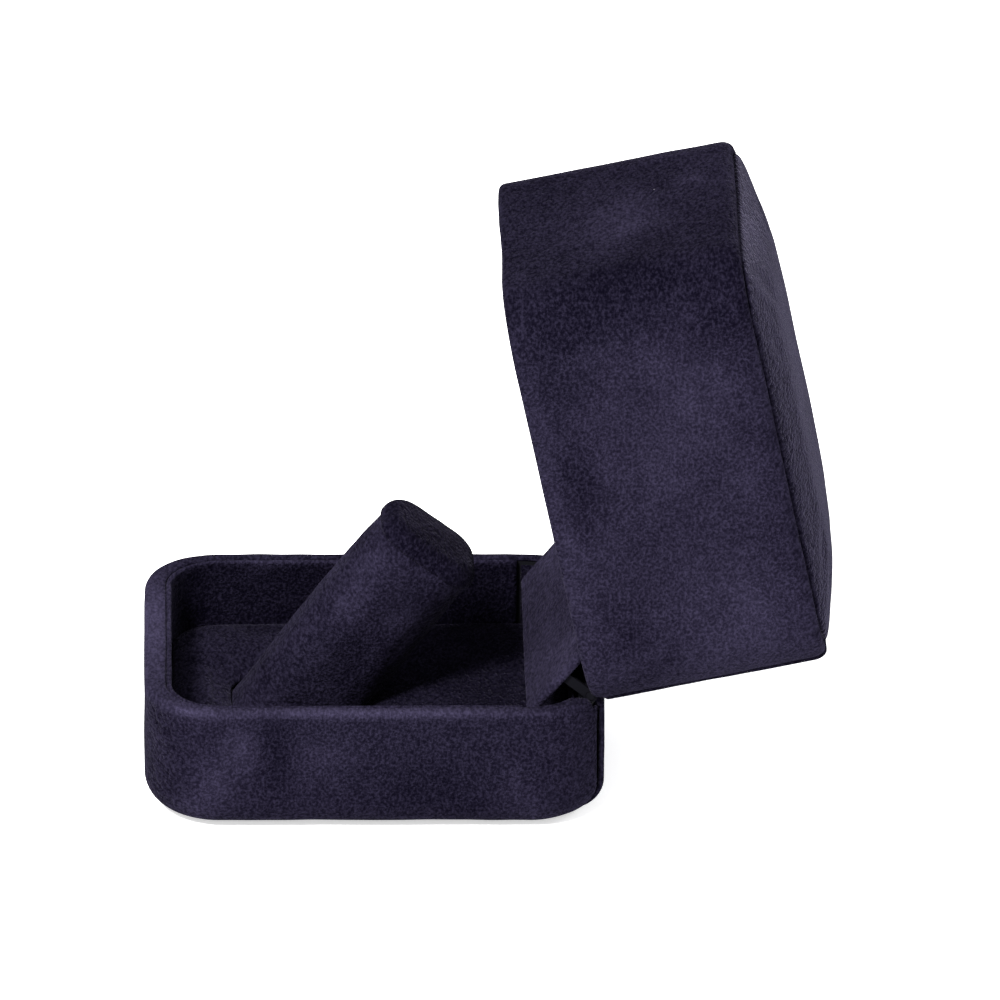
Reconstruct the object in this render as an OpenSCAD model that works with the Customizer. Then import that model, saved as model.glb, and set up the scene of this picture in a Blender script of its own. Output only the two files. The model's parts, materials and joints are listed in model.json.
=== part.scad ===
// Velvet-covered ring box with a padded ring finger and a sprung steel hinge.
// Origin: centre of the underside. +Z is up, -Y the front, +Y the hinge side.
// The lid's pieces are drawn shut, then swung open about the hinge pin.

/* [Box] */
// Length from the front face to the hinge face
box_l = 65; // [62:0.5:72]
// Width across the hinge
box_w = 52; // [50:0.5:60]
// Height of the base, from the underside to the rim
base_h = 19; // [18:0.5:22]
// Height of the lid, from its rim to its top edge
lid_h = 33.8; // [32:0.2:40]
// Radius of the corners seen from above
corner_r = 10.5; // [10:0.25:12]
// Radius along the bottom edge of the base
foot_r = 4.5; // [3.5:0.25:5]
// Radius along the top edge of the lid
crest_r = 1.8; // [1.4:0.1:2.4]
// Radius along the rims
rim_r = 1; // [0.8:0.1:1.2]
// Gap between the two rims when the box is shut
rim_gap = 0.3; // [0.3:0.05:0.6]

/* [Hinge] */
// How far the lid is swung open
open_angle = 78; // [0:1:80]
// Distance from the hinge face in to the pin
pin_inset = 2.1; // [1.8:0.1:2.2]
// Slope of the rims' rear edges, which pass each other as the lid swings
rear_slope = 40; // [40:0.5:44]
// Radius of the pin
pin_r = 0.6; // [0.5:0.05:0.7]
// Length of the knuckle row
knuckle_row = 39.8; // [36:0.2:40]
// Height of each leaf
leaf_h = 7.6; // [6:0.2:8]
// Distance from the pin to the velvet face of the bridge
bridge_reach = 5.6; // [5.2:0.1:6]
// Width of the bridge
bridge_w = 43; // [42:0.2:43]
// Height of the velvet-covered bridge, edge to edge
bridge_h = 15.4; // [13:0.2:16]

/* [Ring finger] */
// Width of the finger across the box
finger_w = 13; // [11:0.5:15]
// Depth of the finger across its lean
finger_d = 15; // [12:0.2:16]
// Length of the finger along its axis
finger_l = 37.9; // [34:0.1:40]
// Angle between the finger and the floor
finger_lean = 53; // [50:1:60]

/* [Walls] */
// Thickness of the velvet
velvet = 0.6; // [0.5:0.05:0.7]
// Side walls of the moulded shells
side_wall = 1.6; // [1.4:0.1:1.8]
// Front walls of the moulded shells
front_wall = 2.5; // [2:0.1:2.8]
// Velvet-covered card that lines the walls
liner = 0.8; // [0.6:0.1:1]
// Height of the velvet floor over the underside
floor_z = 10; // [9.5:0.1:10.5]

/* [Hidden] */
$fn = 96;
over = 1;
rear_y = box_l / 2;
front_y = -box_l / 2;
pin_y = rear_y - pin_inset;
pin_z = base_h + rim_gap / 2;
lid_z = base_h + rim_gap;
lid_top = lid_z + lid_h;
knuckle_r = 1.05;
// The sloped rear edges: gap to the plane between them, start before the pin, depth of the cut
rear_gap = 0.17;
rear_start = 1;
rear_depth = 8;
// Underside: a sheet covers the turned-in edge of the velvet
underlay_t = 0.5;
underlay_in = 5;
turn_in = 8;
shell_bottom = underlay_t + velvet;
shell_floor = 3;
shell_floor_z = shell_bottom + shell_floor;
// The hollow inside the shells
hollow_w = box_w - 2 * (velvet + side_wall);
hollow_front = front_y + velvet + front_wall;
hollow_rear = pin_y - knuckle_r;
rear_wall = rear_y - velvet - hollow_rear;
hollow_r = 7.9;
liner_end = hollow_rear - hollow_r - 0.2;
liner_drop = 0.3;
lining_t = 0.4;
lining_y = hollow_rear - 1.15;
lining_half = 20.2;
lining_drop = 1;
// Rear panels of velvet meet the wraps at two upright seams
seam_x = 19.5;
seam_y = 25;
seam_gap = 0.05;
// Floor: card, foam and velvet
board_t = 1.2;
floor_slack = 0.15;
floor_rear = lining_y - lining_t - floor_slack;
board_z = floor_z - 4.2;
pillar_r = 3;
pillar_xy = [18, 21];
// Ring finger
finger_r = 4.5;
finger_root = 12;
finger_foam_t = 2.5;
finger_foot = [0, -14, 4];
finger_play = 0.1;
cap_in = 1.8;
cap_t = 0.4;
socket_size = [16, 22];
screw_r = 0.8;
screw_head_r = 1.6;
screw_head_t = 0.9;
screw_x = 2;
screw_y = -13.5;
screw_tip = 9;
screw_play = 0.05;
// Hinge
knuckle_play = 0.05;
knuckle_gap = 0.3;
knuckle_count = 5;
knuckle_l = (knuckle_row - (knuckle_count - 1) * knuckle_gap) / knuckle_count;
groove_r = knuckle_r + 0.3;
groove_l = 42.6;
pin_l = 42;
leaf_t = 0.6;
leaf_l = 39.8;
leaf_top = 0.45;
leaf_play = 0.05;
web_h = 1;
rivet_x = [-13, 0, 13];
rivet_drop = 4.5;
rivet_r = 0.8;
rivet_head_r = 1.5;
rivet_head_t = 0.5;
bridge_t = 0.4;
bridge_fold = 0.5;
bridge_hem = 0.3;
bridge_hem_h = 3;
lug_x = 20.2;
lug_t = 0.6;
lug_h = 1.4;
slot_l = 4;
slot_h = 2;
// Lid: outer pillow and inner pad
roof_t = 1.2;
roof_z = lid_top - velvet - roof_t;
pillow_in = 1.6;
pillow_rise = 2.8;
pillow_r = 9;
pillow_skin = 0.5;
pillow_board_t = 0.8;
pillow_board_in = 3.8;
pillow_edge_r = 2;
pad_slack = 0.1;
pad_t = 3.4;
pad_edge_r = 2.6;
pad_board_t = 0.8;
pad_skin = 0.5;
pad_rear = 27;

// Rounded rectangle w wide, from y0 to y1
module plan(w, y0, y1, r) {
    translate([-w / 2 + r, y0]) square([w - 2 * r, y1 - y0]);
    translate([-w / 2, y0 + r]) square([w, y1 - y0 - 2 * r]);
    for (x = [-w / 2 + r, w / 2 - r], y = [y0 + r, y1 - r])
        translate([x, y]) circle(r);
}

// Upright prism on a rounded rectangle
module slab(w, y0, y1, r, z0, z1) {
    translate([0, 0, z0]) linear_extrude(z1 - z0) plan(w, y0, y1, r);
}

// Half outline of a block, out to reach, with a round at its foot and its top
module half_outline(reach, z0, z1, low_r, high_r) {
    difference() {
        translate([0, z0]) square([reach, z1 - z0]);
        if (low_r > 0)
            translate([reach - low_r, z0 + low_r])
                difference() {
                    translate([0, -low_r - over]) square(low_r + over);
                    circle(low_r);
                }
        if (high_r > 0)
            translate([reach - high_r, z1 - high_r])
                difference() {
                    square(high_r + over);
                    circle(high_r);
                }
    }
}

module full_outline(reach, z0, z1, low_r, high_r) {
    half_outline(reach, z0, z1, low_r, high_r);
    mirror([1, 0]) half_outline(reach, z0, z1, low_r, high_r);
}

// Block with round corners and round edges: four pucks and two bars between them
module block(w, y0, y1, r, z0, z1, low_r, high_r) {
    for (x = [-w / 2 + r, w / 2 - r], y = [y0 + r, y1 - r])
        translate([x, y, 0]) rotate_extrude() half_outline(r, z0, z1, low_r, high_r);
    translate([0, y1 - r, 0]) rotate([90, 0, 0])
        linear_extrude(y1 - y0 - 2 * r) full_outline(w / 2, z0, z1, low_r, high_r);
    translate([-w / 2 + r, (y0 + y1) / 2, 0]) rotate([90, 0, 90])
        linear_extrude(w - 2 * r) full_outline((y1 - y0) / 2, z0, z1, low_r, high_r);
}

// What lies beyond the sloped rear edge of a rim; up is 1 on the base, -1 on the lid
module rear_edge_waste(up, inset) {
    drop = rear_gap + inset;
    translate([-box_w, pin_y, pin_z]) rotate([-up * rear_slope, 0, 0])
        translate([0, -rear_start, up > 0 ? -drop : drop - rear_depth])
            cube([2 * box_w, rear_start + rear_depth, rear_depth]);
}

// Groove that the knuckles turn in, with a slot in front for the bridge's arms
module hinge_groove() {
    translate([0, pin_y, pin_z]) {
        rotate([0, 90, 0]) cylinder(r = groove_r, h = groove_l, center = true);
        translate([-groove_l / 2, -slot_l, -slot_h / 2]) cube([groove_l, slot_l, slot_h]);
    }
}

// Outside of the base, moved in by inset
module base_form(inset) {
    difference() {
        block(box_w - 2 * inset, front_y + inset, rear_y - inset, corner_r - inset,
            underlay_t + inset, base_h - inset, foot_r - inset, rim_r - inset);
        rear_edge_waste(1, inset);
        hinge_groove();
    }
}

// Outside of the lid, moved in by inset
module lid_form(inset) {
    difference() {
        block(box_w - 2 * inset, front_y + inset, rear_y - inset, corner_r - inset,
            lid_z + inset, lid_top - inset, rim_r - inset, crest_r - inset);
        rear_edge_waste(-1, inset);
        hinge_groove();
    }
}

// The shells' hollow between two heights, drawn in by inset
module hollow(z0, z1, inset = 0) {
    slab(hollow_w - 2 * inset, hollow_front + inset, hollow_rear - inset,
        hollow_r - inset, z0, z1);
}

// Space behind the two upright seams
module seam_zone(half) {
    translate([-half, seam_y, -over]) cube([2 * half, box_l, lid_top + 2 * over]);
}

module base_velvet() {
    difference() {
        base_form(0);
        base_form(velvet);
        hollow(shell_bottom, base_h + over);
        slab(box_w - 2 * turn_in, front_y + turn_in, rear_y - turn_in, 4, -over,
            shell_bottom + over);
    }
}

module lid_velvet() {
    difference() {
        lid_form(0);
        lid_form(velvet);
        hollow(lid_z - over, lid_top - velvet - over);
        slab(box_w - 2 * turn_in, front_y + turn_in, rear_y - turn_in, 4,
            lid_top - velvet - over, lid_top + over);
    }
}

// Lining strip round the front and both sides
module wall_liner(z0, z1) {
    intersection() {
        difference() {
            hollow(z0, z1);
            hollow(z0 - over, z1 + over, liner);
        }
        translate([-box_w, -box_l, z0]) cube([2 * box_w, box_l + liner_end, z1 - z0]);
    }
}

// Velvet strip from low up, round both rear corners and across in front of the leaf
module rear_lining(low) {
    strip_top = base_h - lining_drop;
    color("#252136")
        difference() {
            union() {
                intersection() {
                    difference() {
                        hollow(low, strip_top);
                        hollow(low - over, strip_top + over, lining_t);
                    }
                    for (x = [-box_w - lining_half, lining_half])
                        translate([x, liner_end + seam_gap, 0]) cube([box_w, box_l, box_l]);
                }
                translate([-lining_half - seam_gap, lining_y - lining_t, low])
                    cube([2 * (lining_half + seam_gap), lining_t, strip_top - low]);
            }
            difference() {
                translate([-box_w, lining_y - over, -box_l])
                    cube([2 * box_w, box_l, 2 * box_l]);
                hollow(-box_l, box_l);
            }
        }
}

// Rivet holes, or rivets with play = 0, through one rear wall
module rivet_shanks(play) {
    for (x = rivet_x)
        translate([x, hollow_rear - leaf_t, pin_z - rivet_drop]) rotate([-90, 0, 0])
            cylinder(r = rivet_r + play, h = leaf_t + rear_wall);
}

module rivet_tails(play) {
    for (x = rivet_x)
        translate([x, hollow_rear + rear_wall - rivet_head_t, pin_z - rivet_drop])
            rotate([-90, 0, 0]) cylinder(r = rivet_head_r + play, h = rivet_head_t);
}

module rivet_heads() {
    for (x = rivet_x)
        translate([x, hollow_rear - leaf_t - rivet_head_t, pin_z - rivet_drop])
            rotate([-90, 0, 0]) cylinder(r = rivet_head_r, h = rivet_head_t);
}

module rivets() {
    color("silver") {
        rivet_shanks(0);
        rivet_heads();
        rivet_tails(0);
    }
}

// Turns a piece of the base's half of the hinge into the lid's half
module to_lid_side() {
    translate([0, 0, 2 * pin_z]) mirror([0, 0, 1]) children();
}

// One knuckle along X at the pin, from place i
module at_knuckle(i) {
    start = -knuckle_row / 2 + i * (knuckle_l + knuckle_gap);
    translate([start, pin_y, pin_z]) children();
}

// A leaf below the pin with its own knuckles, cleared round the others
module leaf(own, others) {
    difference() {
        union() {
            translate([-leaf_l / 2, hollow_rear - leaf_t, pin_z - leaf_h])
                cube([leaf_l, leaf_t, leaf_h - leaf_top]);
            for (i = own)
                at_knuckle(i) {
                    rotate([0, 90, 0]) cylinder(r = knuckle_r, h = knuckle_l);
                    translate([0, -knuckle_r - leaf_t, -web_h])
                        cube([knuckle_l, knuckle_r + leaf_t, web_h]);
                }
        }
        for (i = others)
            at_knuckle(i) translate([-knuckle_gap, 0, 0]) rotate([0, 90, 0])
                cylinder(r = groove_r, h = knuckle_l + 2 * knuckle_gap);
        translate([0, pin_y, pin_z]) rotate([0, 90, 0])
            cylinder(r = pin_r + knuckle_play, h = box_w, center = true);
        rivet_shanks(screw_play);
    }
}

// Shallow seat for a leaf in the rounded rear corners of the hollow
module leaf_seat() {
    translate([-leaf_l / 2 - leaf_play, lining_y - lining_t, pin_z - leaf_h - leaf_play])
        cube([leaf_l + 2 * leaf_play, hollow_rear - lining_y + lining_t, leaf_h + leaf_play]);
}

// Places the ring finger: its axis leans back from the floor
module at_finger() {
    translate(finger_foot) rotate([finger_lean - 90, 0, 0]) children();
}

// Finger solid, inset all round, its tip drawn down by tip_in
module finger_form(inset, tip_in) {
    at_finger() slab(finger_w - 2 * inset, -finger_d / 2 + inset, finger_d / 2 - inset,
        finger_r - min(inset, finger_r - 1), -finger_root, finger_l - tip_in);
}

// Everything above height z
module above(z) {
    translate([-box_w, -box_l, z]) cube([2 * box_w, 2 * box_l, box_l]);
}

module finger_screw(x, play) {
    translate([x, screw_y, shell_bottom]) {
        cylinder(r = screw_head_r + play, h = screw_head_t + play);
        cylinder(r = screw_r + play, h = screw_tip - shell_bottom + play);
    }
}

// Pillow on the lid, inset all round, from z0 up to its crest
module pillow(inset, z0, crest) {
    block(box_w - 2 * (pillow_in + inset), front_y + pillow_in + inset,
        rear_y - pillow_in - inset, pillow_r - inset, z0, crest, 0, pillow_edge_r - inset);
}

// Pad under the lid's roof, inset all round, from its crest up to z1
module roof_pad(inset, crest, z1) {
    front = hollow_front + liner + pad_slack + inset;
    block(hollow_w - 2 * (liner + pad_slack + inset), front, pad_rear - inset,
        hollow_r - liner - inset, crest, z1, pad_edge_r - inset, 0);
}

// Swings what is drawn shut about the pin
module swung(angle) {
    translate([0, pin_y, pin_z]) rotate([-angle, 0, 0]) translate([0, -pin_y, -pin_z])
        children();
}

// ---- base ----

module base_shell() {
    color("#2a2833")
        difference() {
            union() {
                difference() {
                    base_form(velvet);
                    hollow(shell_floor_z, base_h + over);
                }
                for (x = [-1, 1], y = [-1, 1])
                    translate([x * pillar_xy[0], y * pillar_xy[1], shell_floor_z - over])
                        cylinder(r = pillar_r, h = board_z - shell_floor_z + over);
            }
            leaf_seat();
            rivet_shanks(screw_play);
            rivet_tails(screw_play);
            for (x = [-screw_x, screw_x])
                finger_screw(x, screw_play);
        }
}

module base_wrap() {
    color("#2c2840")
        difference() {
            base_velvet();
            seam_zone(seam_x + seam_gap);
        }
}

module base_back_panel() {
    color("#2c2840")
        intersection() {
            base_velvet();
            seam_zone(seam_x - seam_gap);
        }
}

module base_underlay() {
    color("#221f30")
        slab(box_w - 2 * underlay_in, front_y + underlay_in, rear_y - underlay_in,
            corner_r - underlay_in, 0, underlay_t);
}

module base_liner() {
    color("#252136") wall_liner(board_z, base_h - liner_drop);
}

module base_rear_lining() {
    rear_lining(board_z);
}

// Layer of the floor between two heights, drawn in by inset
module floor_layer(z0, z1, inset) {
    intersection() {
        hollow(z0, z1, liner + floor_slack + inset);
        translate([-box_w, floor_rear - inset - box_l, z0]) cube([2 * box_w, box_l, z1 - z0]);
    }
}

module floor_board() {
    color("#3b3a3f")
        difference() {
            floor_layer(board_z, board_z + board_t, 0);
            finger_form(-finger_play, 0);
        }
}

module floor_foam() {
    color("#d8d3c8")
        difference() {
            floor_layer(board_z + board_t, floor_z - velvet, velvet);
            finger_form(-finger_play, 0);
        }
}

module floor_cover() {
    color("#252136")
        difference() {
            floor_layer(board_z + board_t, floor_z, 0);
            floor_layer(board_z, floor_z - velvet, velvet);
            finger_form(-finger_play, 0);
        }
}

// ---- ring finger ----

module finger_socket() {
    color("#2a2833")
        difference() {
            translate([-socket_size[0] / 2, finger_foot[1] - socket_size[1] / 2, shell_floor_z])
                cube([socket_size[0], socket_size[1], board_z - shell_floor_z]);
            finger_form(velvet + finger_foam_t - finger_play, 0);
        }
}

module finger_core() {
    color("#a58a63")
        difference() {
            intersection() {
                finger_form(velvet + finger_foam_t, velvet + finger_foam_t);
                above(shell_floor_z);
            }
            for (x = [-screw_x, screw_x])
                finger_screw(x, screw_play);
        }
}

module finger_foam() {
    color("#d8d3c8")
        difference() {
            intersection() {
                finger_form(velvet, velvet);
                above(board_z);
            }
            finger_form(velvet + finger_foam_t, velvet + finger_foam_t);
        }
}

module finger_cover() {
    color("#2c2840")
        difference() {
            intersection() {
                finger_form(0, 0);
                above(board_z);
            }
            finger_form(velvet, velvet);
        }
}

module finger_cap() {
    color("#221f30")
        at_finger() slab(finger_w - 2 * cap_in, -finger_d / 2 + cap_in, finger_d / 2 - cap_in,
            finger_r - cap_in, finger_l, finger_l + cap_t);
}

module finger_screws() {
    color("silver")
        for (x = [-screw_x, screw_x])
            finger_screw(x, 0);
}

// ---- hinge ----

module hinge_leaf_base() {
    color("silver") leaf([0, 2, 4], [1, 3]);
}

module hinge_pin() {
    color("silver")
        translate([0, pin_y, pin_z]) rotate([0, 90, 0])
            cylinder(r = pin_r, h = pin_l, center = true);
}

module hinge_rivets_base() {
    rivets();
}

module hinge_bridge() {
    plate_h = bridge_h - 2 * bridge_fold;
    color("silver")
        swung(open_angle / 2)
            difference() {
                translate([0, pin_y, pin_z]) {
                    translate([-bridge_w / 2 + bridge_fold, -bridge_reach + bridge_fold, -plate_h / 2])
                        cube([bridge_w - 2 * bridge_fold, bridge_t, plate_h]);
                    for (x = [-lug_x - lug_t, lug_x]) {
                        translate([x, -bridge_reach + bridge_fold, -lug_h / 2])
                            cube([lug_t, bridge_reach - bridge_fold, lug_h]);
                        translate([x, 0, 0]) rotate([0, 90, 0]) cylinder(r = knuckle_r, h = lug_t);
                    }
                }
                translate([0, pin_y, pin_z]) rotate([0, 90, 0])
                    cylinder(r = pin_r + knuckle_play, h = box_w, center = true);
            }
}

// Velvet over the bridge: round its edges and hemmed on the back
module hinge_flap_cover() {
    plate_h = bridge_h - 2 * bridge_fold;
    open_h = plate_h - 2 * bridge_hem_h;
    color("#2f2b42")
        swung(open_angle / 2)
            translate([0, pin_y - bridge_reach, pin_z])
                difference() {
                    translate([-bridge_w / 2, 0, -bridge_h / 2])
                        cube([bridge_w, bridge_fold + bridge_t + bridge_hem, bridge_h]);
                    translate([-bridge_w / 2 + bridge_fold, bridge_fold, -plate_h / 2])
                        cube([bridge_w - 2 * bridge_fold, bridge_t, plate_h]);
                    translate([-bridge_w / 2 + bridge_fold, bridge_fold, -open_h / 2])
                        cube([bridge_w - 2 * bridge_fold, bridge_t + bridge_hem + over, open_h]);
                }
}

module hinge_leaf_lid() {
    color("silver") swung(open_angle) to_lid_side() leaf([1, 3], [0, 2, 4]);
}

module hinge_rivets_lid() {
    swung(open_angle) to_lid_side() rivets();
}

// ---- lid ----

module lid_shell() {
    color("#2a2833")
        swung(open_angle)
            difference() {
                lid_form(velvet);
                hollow(lid_z - over, roof_z);
                to_lid_side() {
                    leaf_seat();
                    rivet_shanks(screw_play);
                    rivet_tails(screw_play);
                }
            }
}

module lid_wrap() {
    color("#2f2b42")
        swung(open_angle)
            difference() {
                lid_velvet();
                seam_zone(seam_x + seam_gap);
            }
}

module lid_back_panel() {
    color("#2f2b42")
        swung(open_angle)
            intersection() {
                lid_velvet();
                seam_zone(seam_x - seam_gap);
            }
}

module lid_top_board() {
    color("#3b3a3f")
        swung(open_angle)
            slab(box_w - 2 * pillow_board_in, front_y + pillow_board_in,
                rear_y - pillow_board_in, corner_r - pillow_board_in, lid_top,
                lid_top + pillow_board_t);
}

module lid_top_foam() {
    color("#d8d3c8")
        swung(open_angle)
            pillow(pillow_skin, lid_top + pillow_board_t, lid_top + pillow_rise - pillow_skin);
}

module lid_top_cover() {
    color("#2f2b42")
        swung(open_angle)
            difference() {
                pillow(0, lid_top, lid_top + pillow_rise);
                pillow(pillow_skin, lid_top - over, lid_top + pillow_rise - pillow_skin);
            }
}

module lid_liner() {
    color("#252136") swung(open_angle) wall_liner(lid_z + liner_drop, roof_z);
}

module lid_rear_lining() {
    swung(open_angle) to_lid_side() rear_lining(2 * pin_z - roof_z);
}

module lid_pad_board() {
    color("#3b3a3f")
        swung(open_angle)
            slab(hollow_w - 2 * (liner + pad_slack), hollow_front + liner + pad_slack,
                pad_rear, hollow_r - liner, roof_z - pad_board_t, roof_z);
}

module lid_pad_foam() {
    color("#d8d3c8")
        swung(open_angle)
            roof_pad(pad_skin, roof_z - pad_board_t - pad_t + pad_skin, roof_z - pad_board_t);
}

module lid_pad_cover() {
    peak = roof_z - pad_board_t - pad_t;
    color("#252136")
        swung(open_angle)
            difference() {
                roof_pad(0, peak, roof_z - pad_board_t);
                roof_pad(pad_skin, peak + pad_skin, roof_z);
            }
}

base_shell();
base_wrap();
base_back_panel();
base_underlay();
base_liner();
base_rear_lining();
floor_board();
floor_foam();
floor_cover();
finger_socket();
finger_core();
finger_foam();
finger_cover();
finger_cap();
finger_screws();
hinge_leaf_base();
hinge_pin();
hinge_rivets_base();
hinge_bridge();
hinge_flap_cover();
hinge_leaf_lid();
hinge_rivets_lid();
lid_shell();
lid_wrap();
lid_back_panel();
lid_top_board();
lid_top_foam();
lid_top_cover();
lid_liner();
lid_rear_lining();
lid_pad_board();
lid_pad_foam();
lid_pad_cover();
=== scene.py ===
# Ring box in dark violet velvet, standing open. Metres in Blender, millimetres in the shape functions.
import math
import bmesh
import bpy
import numpy as np
from mathutils import Matrix
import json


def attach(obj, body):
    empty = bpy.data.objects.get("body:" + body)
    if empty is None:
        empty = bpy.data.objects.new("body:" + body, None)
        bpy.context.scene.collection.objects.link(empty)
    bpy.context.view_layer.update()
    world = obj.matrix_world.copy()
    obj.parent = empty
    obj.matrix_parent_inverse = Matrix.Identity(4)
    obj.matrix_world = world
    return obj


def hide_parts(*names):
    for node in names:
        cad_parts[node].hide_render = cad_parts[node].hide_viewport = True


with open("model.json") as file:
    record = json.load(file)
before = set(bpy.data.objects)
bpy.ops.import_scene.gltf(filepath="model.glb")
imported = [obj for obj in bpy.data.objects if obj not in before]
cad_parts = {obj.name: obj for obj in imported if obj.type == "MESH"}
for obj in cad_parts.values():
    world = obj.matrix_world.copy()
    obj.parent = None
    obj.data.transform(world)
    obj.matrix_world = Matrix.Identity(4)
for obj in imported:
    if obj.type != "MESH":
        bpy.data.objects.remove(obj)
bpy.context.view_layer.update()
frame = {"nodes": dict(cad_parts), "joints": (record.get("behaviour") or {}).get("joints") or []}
scene = bpy.context.scene
mm = 0.001

# Places taken from the frame
lidJoint = [j for j in frame["joints"] if j["name"] == "lid_hinge"][0]
pinY = lidJoint["pos_m"][1] / mm
pinZ = lidJoint["pos_m"][2] / mm
openAngle = lidJoint["range_deg"][1]
bridgeAngle = openAngle / 2


def swing(points, degrees):
    # Turn about the hinge pin: y' = y cos a + z sin a and z' = z cos a - y sin a, measured from the pin
    a = math.radians(degrees)
    dy = points[..., 1] - pinY
    dz = points[..., 2] - pinZ
    turned = np.array(points, float)
    turned[..., 1] = pinY + dy * math.cos(a) + dz * math.sin(a)
    turned[..., 2] = pinZ - dy * math.sin(a) + dz * math.cos(a)
    return turned


def nodeBox(node, degrees=0.0):
    # Lowest and highest corner of a CAD node in mm, after turning it back by an angle about the pin
    mesh = frame["nodes"][node].data
    flat = np.zeros(len(mesh.vertices) * 3)
    mesh.vertices.foreach_get("co", flat)
    points = swing(flat.reshape(-1, 3) / mm, -degrees)
    return points.min(0), points.max(0)


baseLow = nodeBox("base_wrap")[0]
shellLow, shellHigh = nodeBox("base_liner")
padLow, padHigh = nodeBox("lid_pad_cover", openAngle)
floorLow, floorHigh = nodeBox("floor_cover")
boardZ = nodeBox("floor_board")[0][2]
roofZ = nodeBox("lid_liner", openAngle)[1][2]

# Shape functions
form = {
    "step": 0.62,          # grid spacing on the velvet, mm
    "cornerR": 10.5,       # corners seen from above
    "hollowR": 7.9,        # corners of the hollow
    "footR": 4.5,          # bottom edge of the base
    "rimR": 1.0,           # outer edge of the rims
    "rimInR": 0.4,         # inner edge of the rims
    "rearSlope": 40.0,     # fall of the rims' rear edges, degrees
    "rearGap": 0.22,       # how far below the pin that slope passes
    "rearR": 0.9,          # round where the slope meets the rear face
    "velvet": 0.6,         # thickness of the velvet
    "seamX": 19.5,         # upright seams on the rear corners
    "seamDip": 0.3,        # how deep the seams sink
    "seamWidth": 0.45,     # half-width of the sunk seam
}
halfWidth = 26.0    # mm, outside of the velvet
rearY = 32.5        # outside of the rear face, and of the front face with a minus
baseTop = 19.0      # rim of the base
lidDepth = 33.8
lidRim = 2 * pinZ - baseTop
lidTop = lidRim + lidDepth
hollowRear = pinY - 1.05


def ringPath(halfWidth, halfLength, radius, step):
    # Rounded rectangle from the rear middle, anticlockwise: point = share * (half - r) + direction * r
    across = max(2, round((halfWidth - radius) / step))
    along = max(4, round(2 * (halfLength - radius) / step))
    corner = max(6, round(radius * math.pi / 2 / step))
    turn = math.pi / 2
    runs = [
        ((0, 1), (-1, 1), turn, turn, across),
        ((-1, 1), (-1, 1), turn, 2 * turn, corner),
        ((-1, 1), (-1, -1), 2 * turn, 2 * turn, along),
        ((-1, -1), (-1, -1), 2 * turn, 3 * turn, corner),
        ((-1, -1), (1, -1), 3 * turn, 3 * turn, 2 * across),
        ((1, -1), (1, -1), 3 * turn, 4 * turn, corner),
        ((1, -1), (1, 1), 0, 0, along),
        ((1, 1), (1, 1), 0, turn, corner),
        ((1, 1), (0, 1), turn, turn, across),
    ]
    share, direction = [], []
    for start, end, fromTurn, toTurn, count in runs:
        f = (np.arange(count) / count)[:, None]
        share.append(np.array(start) + (np.array(end) - np.array(start)) * f)
        angle = fromTurn + (toTurn - fromTurn) * f[:, 0]
        direction.append(np.column_stack([np.cos(angle), np.sin(angle)]))
    return np.vstack(share), np.vstack(direction)


def stack(path, rows):
    # Rows of half-width, front, rear, corner radius and height: each makes one ring of the surface
    share, direction = path
    half, front, rear, radius, height = [np.asarray(rows, float)[:, [i]] for i in range(5)]
    x = share[:, 0] * (half - radius) + direction[:, 0] * radius
    middle = (front + rear) / 2
    y = middle + share[:, 1] * ((rear - front) / 2 - radius) + direction[:, 1] * radius
    return np.stack([x, y, np.broadcast_to(height, x.shape)], axis=-1)


def line(start, end, step):
    # Evenly spaced points from start up to, but not including, end
    start, end = np.array(start, float), np.array(end, float)
    count = max(1, math.ceil(np.linalg.norm(end - start) / step))
    return start + (end - start) * (np.arange(count) / count)[:, None]


def arc(centre, radii, fromDegrees, toDegrees, step):
    # Points centre + (a cos t, b sin t), up to but not including the last angle
    a, b = radii
    count = max(3, math.ceil(abs(math.radians(toDegrees - fromDegrees)) * max(a, b) / step))
    t = np.radians(fromDegrees + (toDegrees - fromDegrees) * np.arange(count) / count)
    return np.column_stack([centre[0] + a * np.cos(t), centre[1] + b * np.sin(t)])


def outerRing(inset):
    return [halfWidth - inset, -rearY + inset, rearY - inset, form["cornerR"] - inset]


def hollowRing(inset):
    return [shellHigh[0] - inset, shellLow[1] + inset, hollowRear - inset, form["hollowR"] - inset]


def ringRows(ring, profile):
    # Profile of (inset, height) on one ring
    return np.array([ring(inset) + [height] for inset, height in profile])


def between(ringA, ringB, height, count):
    # Rows that slide from one ring to another at one height, both ends left out
    f = (np.arange(1, count) / count)[:, None]
    a, b = np.array(ringA), np.array(ringB)
    return np.column_stack([a + (b - a) * f, np.full(count - 1, height)])


def waves(points, wavelength, seed, count=7):
    # Smooth noise: the mean of plane waves cos(k.p + phase) in random directions, from -1 to 1
    rng = np.random.default_rng(seed)
    k = rng.normal(size=(count, 3))
    k *= (2 * math.pi / wavelength / np.linalg.norm(k, axis=1))[:, None]
    phase = rng.uniform(0, 2 * math.pi, count)
    return np.cos(points @ k.T + phase).mean(-1) * 1.6


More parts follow.
